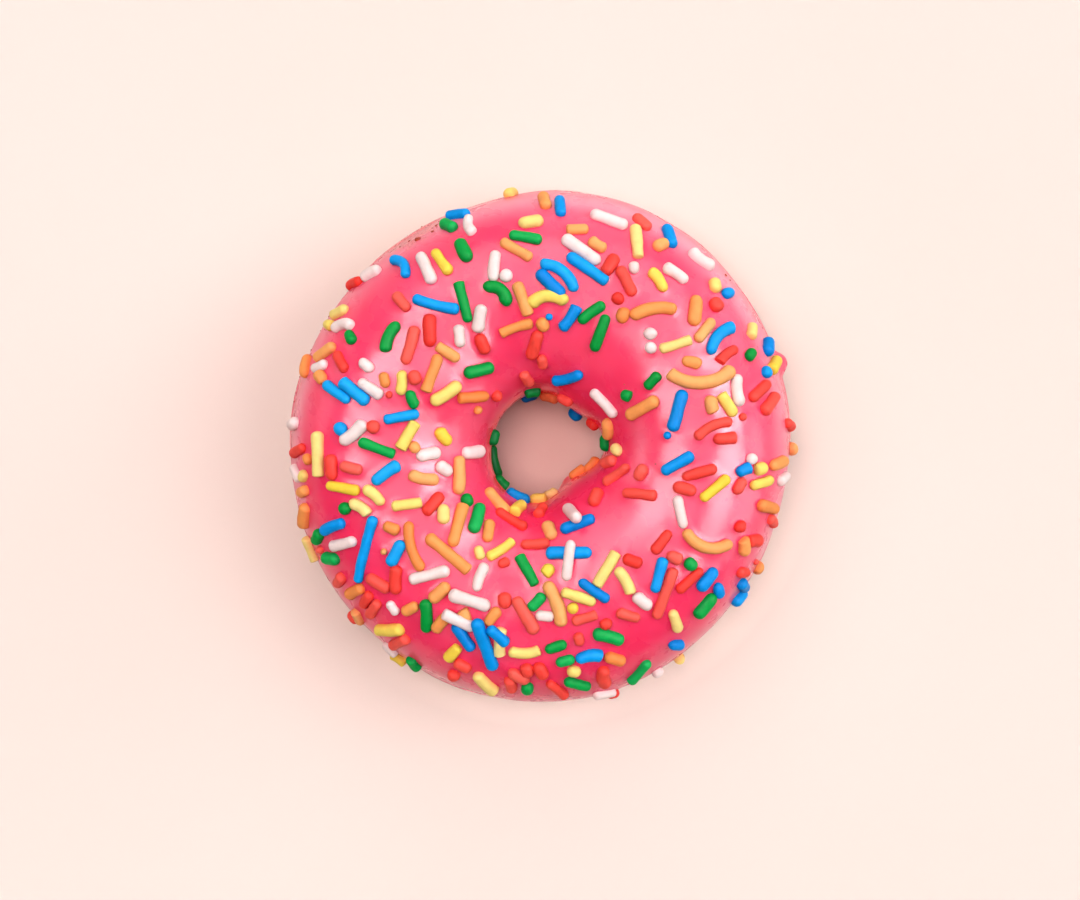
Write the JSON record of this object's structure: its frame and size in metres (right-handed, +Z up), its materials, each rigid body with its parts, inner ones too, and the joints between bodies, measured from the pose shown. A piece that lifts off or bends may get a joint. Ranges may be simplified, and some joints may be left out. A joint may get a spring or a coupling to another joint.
{
  "type": "sprinkle frosted doughnut",
  "caption": "Ring doughnut of fried dough with glossy pink icing over its top and both sides, strewn with coloured sugar sprinkles.",
  "frame": {"origin": "on the surface it rests on, under the middle of the ring", "axes": "+Z up through the hole, out of the iced side; +X and +Y lie in the plane of the ring"},
  "size_m": [0.0844, 0.0863, 0.0328],
  "materials": {
    "dough": "fried golden brown crust, matte",
    "icing": "pink sugar icing, glossy",
    "sprinkle_red": "red sugar, satin",
    "sprinkle_orange": "orange sugar, satin",
    "sprinkle_yellow": "yellow sugar, satin",
    "sprinkle_green": "green sugar, satin",
    "sprinkle_blue": "blue sugar, satin",
    "sprinkle_white": "white sugar, satin"
  },
  "bodies": {
    "root": {"dough": "dough", "icing": "icing"}
  },
  "joints": []
}
